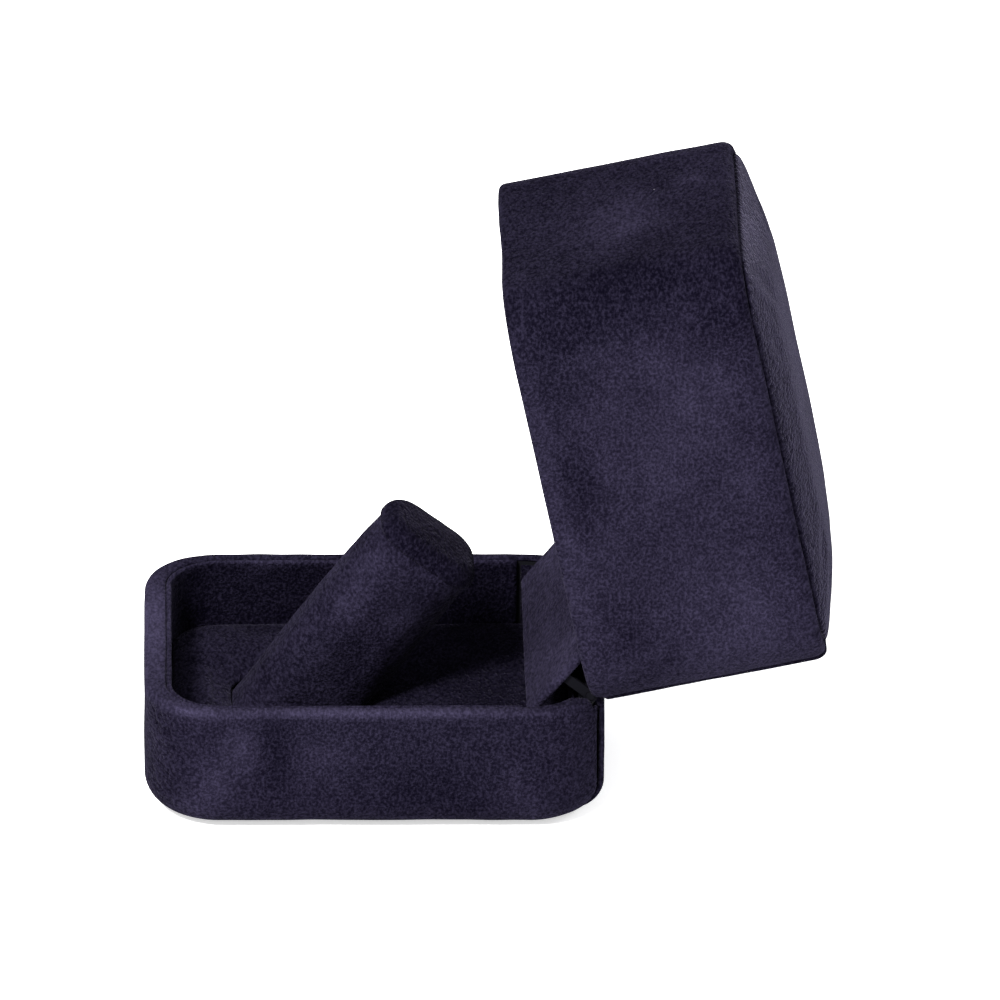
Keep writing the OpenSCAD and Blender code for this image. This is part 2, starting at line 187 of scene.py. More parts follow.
def gridMesh(name, grid, closeRows=False, closeColumns=False, capEnds=False):
    # Quads over a grid of points in mm, with its ends capped by one face each where asked
    rows, columns = grid.shape[:2]
    index = np.arange(rows * columns).reshape(rows, columns)
    if closeRows:
        index = np.vstack([index, index[:1]])
    if closeColumns:
        index = np.hstack([index, index[:, :1]])
    quads = np.stack([index[:-1, :-1], index[:-1, 1:], index[1:, 1:], index[1:, :-1]], -1)
    faces = quads.reshape(-1, 4).tolist()
    if capEnds:
        faces += [index[0, :columns][::-1].tolist(), index[-1, :columns].tolist()]
    mesh = bpy.data.meshes.new(name)
    mesh.from_pydata((grid.reshape(-1, 3) * mm).tolist(), [], faces)
    piece = bpy.data.objects.new(name, mesh)
    scene.collection.objects.link(piece)
    tidyMesh(piece)
    return piece


def tidyMesh(piece):
    # Merge doubles, turn faces outwards and shade smooth
    work = bmesh.new()
    work.from_mesh(piece.data)
    bmesh.ops.remove_doubles(work, verts=work.verts, dist=0.002 * mm)
    bmesh.ops.recalc_face_normals(work, faces=work.faces)
    centre = sum((v.co for v in work.verts), work.verts[:][0].co * 0) / len(work.verts)
    facing = sum(f.calc_area() * f.normal.dot(f.calc_center_median() - centre) for f in work.faces)
    if facing < 0:
        bmesh.ops.reverse_faces(work, faces=work.faces)
    for face in work.faces:
        face.smooth = True
    work.to_mesh(piece.data)
    work.free()


def cutOut(piece, planes, inside):
    # Score the mesh along planes (axis, place in mm), then drop the faces whose centre is inside
    work = bmesh.new()
    work.from_mesh(piece.data)
    for axis, place in planes:
        point = [0, 0, 0]
        normal = [0, 0, 0]
        point[axis] = place * mm
        normal[axis] = 1
        geometry = work.verts[:] + work.edges[:] + work.faces[:]
        bmesh.ops.bisect_plane(work, geom=geometry, dist=1e-7, plane_co=point, plane_no=normal)
    gone = [f for f in work.faces if inside(*(f.calc_center_median() / mm))]
    bmesh.ops.delete(work, geom=gone, context="FACES")
    work.to_mesh(piece.data)
    work.free()


def meshPoints(piece):
    flat = np.zeros(len(piece.data.vertices) * 3)
    piece.data.vertices.foreach_get("co", flat)
    return flat.reshape(-1, 3) / mm


def meshNormals(piece):
    flat = np.zeros(len(piece.data.vertices) * 3, np.float32)
    piece.data.vertex_normals.foreach_get("vector", flat)
    return flat.reshape(-1, 3).astype(float)


def setPoints(piece, points):
    piece.data.vertices.foreach_set("co", (points * mm).astype(np.float32).ravel())
    piece.data.update()


def handLaid(piece, lumps):
    # Push the surface along its normals by smooth noise: (height, wavelength, seed) for each size of lump
    points = meshPoints(piece)
    push = sum(height * waves(points, length, seed) for height, length, seed in lumps)
    setPoints(piece, points + meshNormals(piece) * push[:, None])


def thicken(piece, thickness):
    wall = piece.modifiers.new("thickness", "SOLIDIFY")
    wall.thickness = thickness * mm
    wall.offset = -1
    wall.use_quality_normals = True
    applyModifier(piece, wall)


def applyModifier(piece, modifier):
    bpy.context.view_layer.objects.active = piece
    bpy.ops.object.modifier_apply(modifier=modifier.name)


def puff(piece, air):
    # Cloth blown up by air pressure with no gravity, at ten times its size; its travel is capped
    grow = 10.0
    low = meshPoints(piece)
    setPoints(piece, low * grow)
    remesh = piece.modifiers.new("remesh", "REMESH")
    remesh.mode = "VOXEL"
    remesh.voxel_size = air["voxel"] * grow * mm
    applyModifier(piece, remesh)
    start = meshPoints(piece)
    pins = piece.vertex_groups.new(name="held")
    held = np.nonzero(air["heldWhere"](start / grow))[0]
    pins.add(held.tolist(), 1.0, "REPLACE")
    cloth = piece.modifiers.new("cloth", "CLOTH")
    settings = cloth.settings
    settings.vertex_group_mass = "held"
    settings.quality = 5
    settings.tension_stiffness = air["tension"]
    settings.compression_stiffness = air["tension"]
    settings.shear_stiffness = air["tension"] / 3
    settings.bending_stiffness = air["bending"]
    settings.use_pressure = True
    settings.uniform_pressure_force = air["pressure"]
    settings.effector_weights.gravity = 0
    cloth.point_cache.frame_start = 1
    cloth.point_cache.frame_end = 20
    for step in range(1, 21):
        scene.frame_set(step)
    moved = piece.evaluated_get(bpy.context.evaluated_depsgraph_get()).to_mesh()
    flat = np.zeros(len(moved.vertices) * 3)
    moved.vertices.foreach_get("co", flat)
    piece.evaluated_get(bpy.context.evaluated_depsgraph_get()).to_mesh_clear()
    travel = flat.reshape(-1, 3) / mm - start
    far = np.linalg.norm(travel, axis=1, keepdims=True)
    cap = air["cap"] * grow
    travel *= cap / np.maximum(cap, far)
    piece.modifiers.remove(cloth)
    piece.vertex_groups.remove(pins)
    scene.frame_set(1)
    setPoints(piece, (start + travel) / grow)
    calm = piece.modifiers.new("calm", "SMOOTH")
    calm.factor = 0.5
    calm.iterations = air["calm"]
    applyModifier(piece, calm)
    tidyMesh(piece)


def paintLightAndNap(piece, paintedLightMarks):
    # Painted light and shade, with some lighter streaks: the sum of tone * exp(-|(point - middle) / reach|^2),
    # kept on the vertices as the brushed attribute
    points = meshPoints(piece)
    tone = np.zeros(len(points))
    for middle, reach, amount in paintedLightMarks:
        away = (points - np.array(middle)) / np.array(reach)
        tone += amount * np.exp(-(away ** 2).sum(-1))
    layer = piece.data.attributes.new("brushed", "FLOAT", "POINT")
    layer.data.foreach_set("value", tone.astype(np.float32))


def give(piece, body, material, nodes):
    # Put a finished piece on its body, with its finish and the CAD nodes that it stands for
    piece.data.materials.clear()
    piece.data.materials.append(material)
    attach(piece, body)
    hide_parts(*nodes)
    print("made", piece.name, len(piece.data.polygons), "faces")


# Shader groups
def shaderGroup(name, inputs, outputs):
    group = bpy.data.node_groups.new(name, "ShaderNodeTree")
    for label, kind, value in inputs:
        socket = group.interface.new_socket(name=label, in_out="INPUT", socket_type=kind)
        if value is not None:
            socket.default_value = value
    for label, kind in outputs:
        group.interface.new_socket(name=label, in_out="OUTPUT", socket_type=kind)
    return group, group.nodes.new("NodeGroupInput"), group.nodes.new("NodeGroupOutput")


def addNode(tree, kind, values=None, **settings):
    node = tree.nodes.new(kind)
    for key, value in settings.items():
        setattr(node, key, value)
    for key, value in (values or {}).items():
        node.inputs[key].default_value = value
    return node


def join(tree, *pairs):
    for source, target in pairs:
        tree.links.new(source, target)


def smoothMask(tree, source, low, high):
    # 0 below low, 1 above high, smooth between
    node = addNode(tree, "ShaderNodeMapRange", {"From Min": low, "From Max": high})
    node.interpolation_type = "SMOOTHSTEP"
    join(tree, (source, node.inputs["Value"]))
    return node.outputs["Result"]


def mathNode(tree, operation, a, b):
    node = addNode(tree, "ShaderNodeMath", operation=operation)
    for socket, value in zip(node.inputs, (a, b)):
        if isinstance(value, (int, float)):
            socket.default_value = value
        else:
            join(tree, (value, socket))
    return node.outputs[0]


def pileGroup():
    # Short pile: tufts about half a millimetre across, over softer clumps
    group, inside, outside = shaderGroup(
        "velvetPile",
        [("Vector", "NodeSocketVector", None), ("Tuft Size mm", "NodeSocketFloat", 0.46)],
        [("Tuft", "NodeSocketFloat"), ("Clump", "NodeSocketFloat")],
    )
    perMetre = mathNode(group, "DIVIDE", 1000.0, inside.outputs["Tuft Size mm"])
    tuft = addNode(group, "ShaderNodeTexNoise", {"Detail": 2.5, "Roughness": 0.62})
    clump = addNode(group, "ShaderNodeTexNoise", {"Detail": 2.0, "Roughness": 0.5})
    coarse = mathNode(group, "MULTIPLY", perMetre, 0.36)
    join(
        group,
        (inside.outputs["Vector"], tuft.inputs["Vector"]),
        (inside.outputs["Vector"], clump.inputs["Vector"]),
        (perMetre, tuft.inputs["Scale"]),
        (coarse, clump.inputs["Scale"]),
        (smoothMask(group, tuft.outputs["Fac"], 0.3, 0.7), outside.inputs["Tuft"]),
        (smoothMask(group, clump.outputs["Fac"], 0.32, 0.68), outside.inputs["Clump"]),
    )
    return group


def napGroup():
    # Nap brushed one way and the other: broad clouds, with a finer mottle inside them
    group, inside, outside = shaderGroup(
        "brushedNap",
        [("Vector", "NodeSocketVector", None), ("Cloud Size mm", "NodeSocketFloat", 14.0),
         ("Shift", "NodeSocketFloat", 0.0)],
        [("Raised", "NodeSocketFloat"), ("Flattened", "NodeSocketFloat")],
    )
    perMetre = mathNode(group, "DIVIDE", 1000.0, inside.outputs["Cloud Size mm"])
    outputs = []
    for offset, low, high in ((0.0, 0.5, 0.72), (5.3, 0.44, 0.7)):
        cloud = addNode(group, "ShaderNodeTexNoise", {"Detail": 4.0, "Roughness": 0.55, "Distortion": 0.5})
        cloud.noise_dimensions = "4D"
        join(
            group,
            (inside.outputs["Vector"], cloud.inputs["Vector"]),
            (perMetre, cloud.inputs["Scale"]),
            (mathNode(group, "ADD", inside.outputs["Shift"], offset), cloud.inputs["W"]),
        )
        outputs.append(smoothMask(group, cloud.outputs["Fac"], low, high))
    join(group, (outputs[0], outside.inputs["Raised"]), (outputs[1], outside.inputs["Flattened"]))
    return group


def lintGroup():
    # Few pale specks of lint: the middle of a small share of the cells
    group, inside, outside = shaderGroup(
        "lintSpecks",
        [("Vector", "NodeSocketVector", None), ("Spacing mm", "NodeSocketFloat", 3.6)],
        [("Speck", "NodeSocketFloat")],
    )
    perMetre = mathNode(group, "DIVIDE", 1000.0, inside.outputs["Spacing mm"])
    cells = addNode(group, "ShaderNodeTexVoronoi")
    near = mathNode(group, "LESS_THAN", cells.outputs["Distance"], 0.02)
    split = addNode(group, "ShaderNodeSeparateColor")
    join(
        group,
        (inside.outputs["Vector"], cells.inputs["Vector"]),
        (perMetre, cells.inputs["Scale"]),
        (cells.outputs["Color"], split.inputs["Color"]),
    )
    few = mathNode(group, "GREATER_THAN", split.outputs["Red"], 0.8)
    join(group, (mathNode(group, "MULTIPLY", near, few), outside.inputs["Speck"]))
    return group


pile = pileGroup()
nap = napGroup()
lint = lintGroup()


def groupNode(tree, group, vector, values):
    node = addNode(tree, "ShaderNodeGroup", node_tree=group)
    for key, value in values.items():
        node.inputs[key].default_value = value
    join(tree, (vector, node.inputs["Vector"]))
    return node


def blendColour(tree, factor, a, b, mode="MIX"):
    node = addNode(tree, "ShaderNodeMix", data_type="RGBA", blend_type=mode)
    for socket, value in ((node.inputs[0], factor), (node.inputs[6], a), (node.inputs[7], b)):
        if isinstance(value, (int, float)):
            socket.default_value = value
        elif isinstance(value, tuple):
            socket.default_value = (*value, 1.0)
        else:
            join(tree, (value, socket))
    return node.outputs[2]


def newMaterial(name):
    material = bpy.data.materials.new(name)
    material.use_nodes = True
    tree = material.node_tree
    coordinates = tree.nodes.new("ShaderNodeTexCoord")
    return material, tree, tree.nodes["Principled BSDF"], coordinates.outputs["Object"]


def velvetMaterial(name, look):
    # One shade from 0 to 1 runs from dark to light: nap clouds, tufts and clumps, and the painted light and
    # shade kept in the brushed attribute are added
    material, tree, skin, vector = newMaterial(name)
    leaning = addNode(tree, "ShaderNodeMapping")  # tufts lie a little longer across the box
    leaning.inputs["Scale"].default_value = (0.6, 1.0, 1.0)
    join(tree, (vector, leaning.inputs["Vector"]))
    grain = groupNode(tree, pile, leaning.outputs["Vector"], {"Tuft Size mm": look["tuft"]})
    clouds = groupNode(tree, nap, vector, {"Cloud Size mm": look["cloud"], "Shift": look["shift"]})
    specks = groupNode(tree, lint, vector, {"Spacing mm": look["lintSpacing"]})
    # Painted highlights and painted shade, with some lighter streaks, read from the brushed attribute
    paintedLightMarks = addNode(tree, "ShaderNodeAttribute", attribute_name="brushed")
    shade = look["shade"] - (look["tuftContrast"] + look["clumpContrast"]) / 2
    for source, amount in ((grain.outputs["Tuft"], look["tuftContrast"]),
                           (grain.outputs["Clump"], look["clumpContrast"]),
                           (clouds.outputs["Raised"], look["raised"]),
                           (clouds.outputs["Flattened"], -look["flattened"]),
                           (paintedLightMarks.outputs["Fac"], look["paintedLightAndShade"])):
        shade = mathNode(tree, "ADD", mathNode(tree, "MULTIPLY", source, amount), shade)
    shade = mathNode(tree, "MAXIMUM", shade, 0.0)
    curved = mathNode(tree, "POWER", shade, 1.6)
    colour = blendColour(tree, curved, look["dark"], look["light"])
    colour = blendColour(tree, specks.outputs["Speck"], colour, look["lint"])
    softer = mathNode(tree, "MULTIPLY", grain.outputs["Clump"], 0.6)
    height = mathNode(tree, "ADD", grain.outputs["Tuft"], softer)
    bump = addNode(tree, "ShaderNodeBump", {"Strength": look["bump"], "Distance": look["pileDepth"] * mm})
    join(
        tree,
        (colour, skin.inputs["Base Color"]),
        (height, bump.inputs["Height"]),
        (bump.outputs["Normal"], skin.inputs["Normal"]),
    )
    skin.inputs["Roughness"].default_value = 0.95
    skin.inputs["Specular IOR Level"].default_value = 0.0
    skin.inputs["Sheen Weight"].default_value = look["sheen"]
    skin.inputs["Sheen Roughness"].default_value = look["sheenRoughness"]
    skin.inputs["Sheen Tint"].default_value = (*look["sheenTint"], 1.0)
    return material


velvetLook = {
    "dark": (0.0015, 0.0012, 0.0034),
    "light": (0.0270, 0.0232, 0.0455),
    "lint": (0.10, 0.095, 0.12),
    "shade": 0.35,          # the plain velvet's place between dark and light
    "raised": 0.16,
    "flattened": 0.14,
    # strength of the brushed attribute's painted light and shade
    "paintedLightAndShade": 0.32,
    "tuft": 0.42,           # mm
    "tuftContrast": 0.40,
    "clumpContrast": 0.07,
    "cloud": 15.0,          # mm
    "shift": 0.0,
    "lintSpacing": 5.5,     # mm
    "bump": 0.8,
    "pileDepth": 0.17,      # mm
    "sheen": 0.03,
    "sheenRoughness": 0.3,
    "sheenTint": (0.75, 0.70, 1.0),
}
outerVelvet = velvetMaterial("outerVelvet", velvetLook)
# A shade lighter copy of the velvet: painted light on the lid
lidVelvet = velvetMaterial("lidVelvet", {**velvetLook, "shift": 3.1, "cloud": 19.0, "shade": 0.39})
# A shade lighter copy of the velvet: painted light on the pillow
pillowVelvet = velvetMaterial("pillowVelvet", {**velvetLook, "shift": 4.4, "shade": 0.37, "sheen": 0.14})
# A much lighter copy of the velvet: painted light on the flap over the hinge
flapVelvetPaintedLight = velvetMaterial("flapVelvetPaintedLight", {**velvetLook, "shift": 6.3, "shade": 0.53})
# A darker copy of the velvet: painted shade on the walls inside the hollows
wallVelvetPaintedShade = velvetMaterial("wallVelvetPaintedShade", {**velvetLook, "shift": 5.2, "cloud": 12.0, "shade": 0.24})
# A darker copy of the velvet: painted shade on the padded floor, the roof pad and the underlay
liningVelvetPaintedShade = velvetMaterial("liningVelvetPaintedShade", {**velvetLook, "shift": 7.4, "cloud": 12.0, "shade": 0.27})
# A lighter copy of the velvet: painted light on the finger
fingerVelvetPaintedLight = velvetMaterial("fingerVelvetPaintedLight", {**velvetLook, "shift": 1.9, "cloud": 10.0, "shade": 0.4})
# A darker copy of the velvet: painted shade on the finger's tip
hoodVelvetPaintedShade = velvetMaterial("hoodVelvetPaintedShade", {**velvetLook, "shift": 2.6, "cloud": 12.0, "shade": 0.22})


def blackMaterial(name, smoothest, roughest, shine):
    # Moulded plastic or lacquered steel: black, with a fine grain and a patchy sheen
    material, tree, skin, vector = newMaterial(name)
    grain = addNode(tree, "ShaderNodeTexNoise", {"Scale": 2600.0, "Detail": 3.0})
    patches = addNode(tree, "ShaderNodeTexNoise", {"Scale": 60.0, "Detail": 2.0})
    bump = addNode(tree, "ShaderNodeBump", {"Strength": 0.25, "Distance": 0.05 * mm})
    sheen = addNode(tree, "ShaderNodeMapRange", {"To Min": smoothest, "To Max": roughest})
    colour = blendColour(tree, patches.outputs["Fac"], (0.0025, 0.0025, 0.0035), (0.006, 0.006, 0.008))
    skin.inputs["Specular IOR Level"].default_value = shine
    join(
        tree,
        (vector, grain.inputs["Vector"]),
        (vector, patches.inputs["Vector"]),
        (grain.outputs["Fac"], bump.inputs["Height"]),
        (bump.outputs["Normal"], skin.inputs["Normal"]),
        (patches.outputs["Fac"], sheen.inputs["Value"]),
        (sheen.outputs["Result"], skin.inputs["Roughness"]),
        (colour, skin.inputs["Base Color"]),
    )
    return material


def steelMaterial(name, deep, pale, smoothest, roughest):
    # Spring steel, brushed along the hinge
    material, tree, skin, vector = newMaterial(name)
    stretch = addNode(tree, "ShaderNodeMapping")
    stretch.inputs["Scale"].default_value = (120.0, 4200.0, 4200.0)
    brush = addNode(tree, "ShaderNodeTexNoise", {"Scale": 1.0, "Detail": 4.0})
    stain = addNode(tree, "ShaderNodeTexNoise", {"Scale": 240.0, "Detail": 3.0})
    bump = addNode(tree, "ShaderNodeBump", {"Strength": 0.2, "Distance": 0.02 * mm})
    shine = addNode(tree, "ShaderNodeMapRange", {"To Min": smoothest, "To Max": roughest})
    colour = blendColour(tree, stain.outputs["Fac"], deep, pale)
    join(
        tree,
        (vector, stretch.inputs["Vector"]),
        (stretch.outputs["Vector"], brush.inputs["Vector"]),
        (vector, stain.inputs["Vector"]),
        (brush.outputs["Fac"], bump.inputs["Height"]),
        (bump.outputs["Normal"], skin.inputs["Normal"]),
        (brush.outputs["Fac"], shine.inputs["Value"]),
        (shine.outputs["Result"], skin.inputs["Roughness"]),
        (colour, skin.inputs["Base Color"]),
    )
    skin.inputs["Metallic"].default_value = 1.0
    return material


def fibreMaterial(name, pale, deep, scale, rough, stretchTo=(1.0, 1.0, 1.0)):
    # Card, foam and wood: two tones mixed by noise, pulled out along the grain where there is one
    material, tree, skin, vector = newMaterial(name)
    stretch = addNode(tree, "ShaderNodeMapping")
    stretch.inputs["Scale"].default_value = stretchTo
    fibres = addNode(tree, "ShaderNodeTexNoise", {"Scale": scale, "Detail": 6.0, "Roughness": 0.65})
    bump = addNode(tree, "ShaderNodeBump", {"Strength": 0.5, "Distance": 0.1 * mm})
    colour = blendColour(tree, fibres.outputs["Fac"], deep, pale)
    join(
        tree,
        (vector, stretch.inputs["Vector"]),
        (stretch.outputs["Vector"], fibres.inputs["Vector"]),
        (fibres.outputs["Fac"], bump.inputs["Height"]),
        (bump.outputs["Normal"], skin.inputs["Normal"]),
        (colour, skin.inputs["Base Color"]),
    )
    skin.inputs["Roughness"].default_value = rough
    return material


cadFinishes = [
    (blackMaterial("shellPlastic", 0.42, 0.6, 0.06), ["base_shell", "lid_shell", "finger_socket"]),
    (blackMaterial("blackLacquer", 0.6, 0.8, 0.0),
     ["hinge_bridge", "hinge_pin", "hinge_leaf_base", "hinge_leaf_lid", "hinge_rivets_base",
      "hinge_rivets_lid"]),
    (steelMaterial("nickelSteel", (0.55, 0.54, 0.51), (0.68, 0.67, 0.64), 0.24, 0.46), ["finger_screws"]),
    (fibreMaterial("greyBoard", (0.16, 0.15, 0.14), (0.07, 0.065, 0.06), 900.0, 0.9),
     ["floor_board", "lid_top_board", "lid_pad_board"]),
    (fibreMaterial("paleFoam", (0.72, 0.68, 0.6), (0.45, 0.42, 0.36), 1400.0, 0.95),
     ["floor_foam", "finger_foam", "lid_top_foam", "lid_pad_foam"]),
    (fibreMaterial("plainWood", (0.5, 0.34, 0.19), (0.3, 0.18, 0.09), 300.0, 0.7, (6.0, 6.0, 0.6)),
     ["finger_core"]),
]
for finish, nodes in cadFinishes:
    for node in nodes:
        holder = frame["nodes"][node]
        holder.data.materials.clear()
        holder.data.materials.append(finish)
print("materials ready")

# Base
step = form["step"]
outerPath = ringPath(halfWidth, rearY, form["cornerR"], step)
seamEdge = form["seamX"] + 0.05
behindSeam = 20.0  # the seams lie behind this y
groove = {
    "half": 21.3,       # the hinge's groove across the rims, mm
    "front": 26.4,
    "rear": 31.43,
    "floor": 15.0,
    "cornerY": 29.9,    # behind this the outer corners stay whole,
    "cornerZ": 17.4,    # up to here
}


def seamSink(points, behind):
    # Depth of the sunk seams: dip * exp(-(distance / width)^2), behind a given y only
    away = np.abs(np.abs(points[..., 0]) - form["seamX"])
    depth = form["seamDip"] * np.exp(-(away / form["seamWidth"]) ** 2)
    return depth * (points[..., 1] > behind)


def slopeZ(y):
    # Height of the base's sloped rear edge at y: it falls away behind the pin
    return pinZ - form["rearGap"] - (y - pinY) * math.tan(math.radians(form["rearSlope"]))


def rearFall(points, rimZ, farZ, up):
    # Behind the pin the rim falls as d tan(slope); heights between farZ and the rim share the fall
    start = pinY - 0.15
    behind = points[..., 1] - start
    into = (np.sqrt(behind ** 2 + 0.16) + behind) / 2
    drop = np.where(behind > -1.5, into, 0) * math.tan(math.radians(form["rearSlope"]))
    share = np.clip((points[..., 2] - farZ) / (rimZ - farZ), 0, 1)
    lowered = np.array(points)
    lowered[..., 2] -= up * drop * share
    return lowered


def wrapProfileBase():
    # Underside hem, round foot, wall and outer round of the rim, as (inset, height)
    foot, rim = form["footR"], form["rimR"]
    low, top = baseLow[2], baseTop
    return np.vstack([
        line((8, low), (foot, low), step),
        arc((foot, low + foot), (foot, foot), -90, -180, step * 0.8),
        line((0, low + foot), (0, top - rim - 1.6), step),
        line((0, top - rim - 1.6), (0, top - rim), 0.25),
        arc((rim, top - rim), (rim, rim), 180, 90, 0.2),
        [(rim, top)],
    ])


def rimRows(top, up):
    # Across the rim to its inner edge, and round it
    rim, inner = form["rimR"], form["rimInR"]
    roundEdge = arc((-inner, top - up * inner), (inner, up * inner), 90, 0, 0.2)
    roundEdge = np.vstack([roundEdge, [(0, top - up * inner)]])
    return np.vstack([
        between(outerRing(rim), hollowRing(-inner), top, 5),
        ringRows(hollowRing, roundEdge),
    ])


def creaseRim(points, rimZ, up):
    # Fine fold under the rim, where the velvet was pulled over: it fades in and out along the sides
    depthAt = 0.16 * (0.55 + 0.45 * waves(points, 23.0, 11))
    away = np.abs(points[..., 2] - (rimZ - up * 1.5))
    fold = depthAt * np.exp(-(away / 0.28) ** 2)
    onSide = np.abs(points[..., 1]) < 20
    return np.clip(fold, 0, 1) * onSide


# (middle, reach, tone) in mm: painted highlights along the rims, painted shade on the front face by the near
# corner, lighter streaks down the corners, and lighter and darker patches on the side
basePaintedLightAndNap = [
    ((0, -31.0, 19.0), (24, 3.2, 1.2), 1.5),
    ((25.2, -27.0, 19.0), (4, 5, 1.2), 1.0),
    ((25.4, 0, 19.0), (1.6, 27, 0.9), 1.5),
    ((25.8, -19.0, 13.5), (4, 3.0, 3.2), 0.75),
    ((25.2, -22.5, 8.0), (4, 2.6, 3.6), 0.75),
    ((24.2, -26.0, 3.0), (4, 2.2, 3.0), 0.55),
    ((25.6, 19.5, 8.5), (4, 1.5, 3.0), 0.4),
    ((25.6, 22.0, 3.5), (4, 1.5, 3.0), 0.4),
    ((19, -31.5, 8), (9, 4, 9), -0.4),
    ((26.0, -7.0, 12.0), (4, 4.5, 4.0), 0.35),
    ((26.0, -14.0, 12.0), (4, 2.4, 5.0), -0.45),
    ((26.0, 6.0, 7.0), (4, 7.0, 4.0), -0.3),
]
# (middle, reach, tone) in mm: painted shade over the lid's front face and its near front corner, with a
# lighter patch on the front, a painted highlight along the rim, and lighter and darker patches on the side
lidPaintedLightAndShade = [
    ((0, -33.5, 36), (40, 5, 60), -0.36),
    ((2, -32.5, 37), (7, 4, 6), 0.75),
    ((22, -27, 36), (6, 5, 40), -0.35),
    ((26, -6, 40), (5, 9, 11), 0.45),
    ((26, 20, 28), (5, 6, 7), -0.45),
    ((26, 22, 41), (5, 12, 14), 0.6),
    ((26, 0, 21), (5, 30, 1.6), 0.35),
]


def cutSeamAndGroove(piece, rimZ, up):
    # Take away the rear panel's share of the wrap, and the hinge's groove, as depths below the rim
    depth = (baseTop - groove["floor"]) if up > 0 else 3.4
    cornerDepth = baseTop - groove["cornerZ"]
    planes = [(0, seamEdge), (0, -seamEdge), (0, groove["half"]), (0, -groove["half"]),
              (1, groove["front"]), (1, groove["rear"]), (2, rimZ - up * cornerDepth)]

    def inside(x, y, z):
        below = (rimZ - z) * up
        limit = depth if y < groove["cornerY"] else cornerDepth
        inGroove = abs(x) < groove["half"] and groove["front"] < y < groove["rear"] and below < limit
        return (abs(x) < seamEdge and y > behindSeam) or inGroove

    cutOut(piece, planes, inside)


def makeBaseWrap():
    rows = np.vstack([ringRows(outerRing, wrapProfileBase()), rimRows(baseTop, 1)])
    grid = rearFall(stack(outerPath, rows), baseTop, baseTop - 7, 1)
    piece = gridMesh("velvet_base_wrap", grid, closeColumns=True)
    cutSeamAndGroove(piece, baseTop, 1)
    points, normals = meshPoints(piece), meshNormals(piece)
    sink = seamSink(points, behindSeam) + creaseRim(points, baseTop, 1)
    setPoints(piece, points - normals * sink[:, None])
    handLaid(piece, [(0.08, 13.0, 1), (0.025, 5.0, 2)])
    paintLightAndNap(piece, basePaintedLightAndNap)
    thicken(piece, form["velvet"])
    give(piece, "base", outerVelvet, ["base_wrap"])


def panelGrid(profile, half):
    # A (y, height) profile drawn across x from -half to half
    across = np.linspace(-half, half, round(2 * half / step))
    x = np.broadcast_to(across, (len(profile), len(across)))
    y = np.broadcast_to(profile[:, [0]], x.shape)
    z = np.broadcast_to(profile[:, [1]], x.shape)
    return np.stack([x, y, z], axis=-1)


def makeBackPanel(name, profile, body, nodes, material, degrees):
    half = form["seamX"] - 0.05
    piece = gridMesh(name, panelGrid(profile, half))
    points, normals = meshPoints(piece), meshNormals(piece)
    outward = np.sign(np.mean(normals[:, 1]))
    setPoints(piece, points - outward * normals * seamSink(points, behindSeam)[:, None])
    handLaid(piece, [(0.07, 12.0, 21), (0.03, 4.0, 22)])
    thicken(piece, form["velvet"])
    setPoints(piece, swing(meshPoints(piece), degrees))
    give(piece, body, material, nodes)


def slopedEnd():
    # Round from the rear face into the slope, and down the slope to the groove, as (y, height)
    radius, slope = form["rearR"], math.radians(form["rearSlope"])
    centreY = rearY - radius
    meetY = centreY + radius * math.sin(slope)
    centreZ = slopeZ(meetY) - radius * math.cos(slope)
    return np.vstack([
        arc((centreY, centreZ), (radius, radius), 0, 90 - form["rearSlope"], 0.2),
        line((meetY, slopeZ(meetY)), (groove["rear"], slopeZ(groove["rear"])), 0.3),
        [(groove["rear"], slopeZ(groove["rear"]))],
    ])


def basePanelProfile():
    foot = form["footR"]
    low = baseLow[2]
    end = slopedEnd()
    return np.vstack([
        line((rearY - 8, low), (rearY - foot, low), step),
        arc((rearY - foot, low + foot), (foot, foot), -90, 0, step * 0.8),
        line((rearY, low + foot), end[0], step),
        end,
    ])


makeBaseWrap()
makeBackPanel("velvet_base_back_panel", basePanelProfile(), "base", ["base_back_panel"], outerVelvet, 0)


def solidStrip(name, path, profile, columns, clampY=None):
    # A closed (inset, height) profile carried along part of the hollow's ring, capped at both ends
    share, direction = path[0][columns], path[1][columns]
    grid = stack((share, direction), ringRows(hollowRing, profile))
    if clampY is not None:
        limit = clampY - profile[:, 0][:, None]
        grid[..., 1] = np.minimum(grid[..., 1], limit)
    return gridMesh(name, np.swapaxes(grid, 0, 1), closeColumns=True, capEnds=True)


def stripProfile(thickness, low, top):
    # Card strip: straight back face, rounded top edge, straight front face
    back, edge = 0.03, (thickness - 0.03) / 2
    middle = back + edge
    return np.vstack([
        line((back, low), (back, top - edge), step),
        arc((middle, top - edge), (edge, edge), 180, 0, 0.12),
        line((thickness, top - edge), (thickness, low), step),
        [(thickness, low)],
    ])


liningStyle = {
    "linerT": 0.8,      # velvet-covered card on the walls
    "rearT": 0.4,       # velvet strip at the rear
    "linerEnd": 21.25,  # where the wall card ends and the rear strip begins
    "rearY": 28.2,      # the rear strip passes in front of the hinge leaf here
    "drop": 0.12,       # the wall card stops this far below the rim
    "rearDrop": 1.0,
}
hollowPath = ringPath(shellHigh[0], (hollowRear - shellLow[1]) / 2, form["hollowR"], step)
ringY = stack(hollowPath, [hollowRing(0) + [0]])[0, :, 1]
wallColumns = np.nonzero(ringY <= liningStyle["linerEnd"])[0]
rolled = np.roll(np.arange(len(ringY)), len(ringY) // 2)
rearColumns = rolled[ringY[rolled] > liningStyle["linerEnd"]]


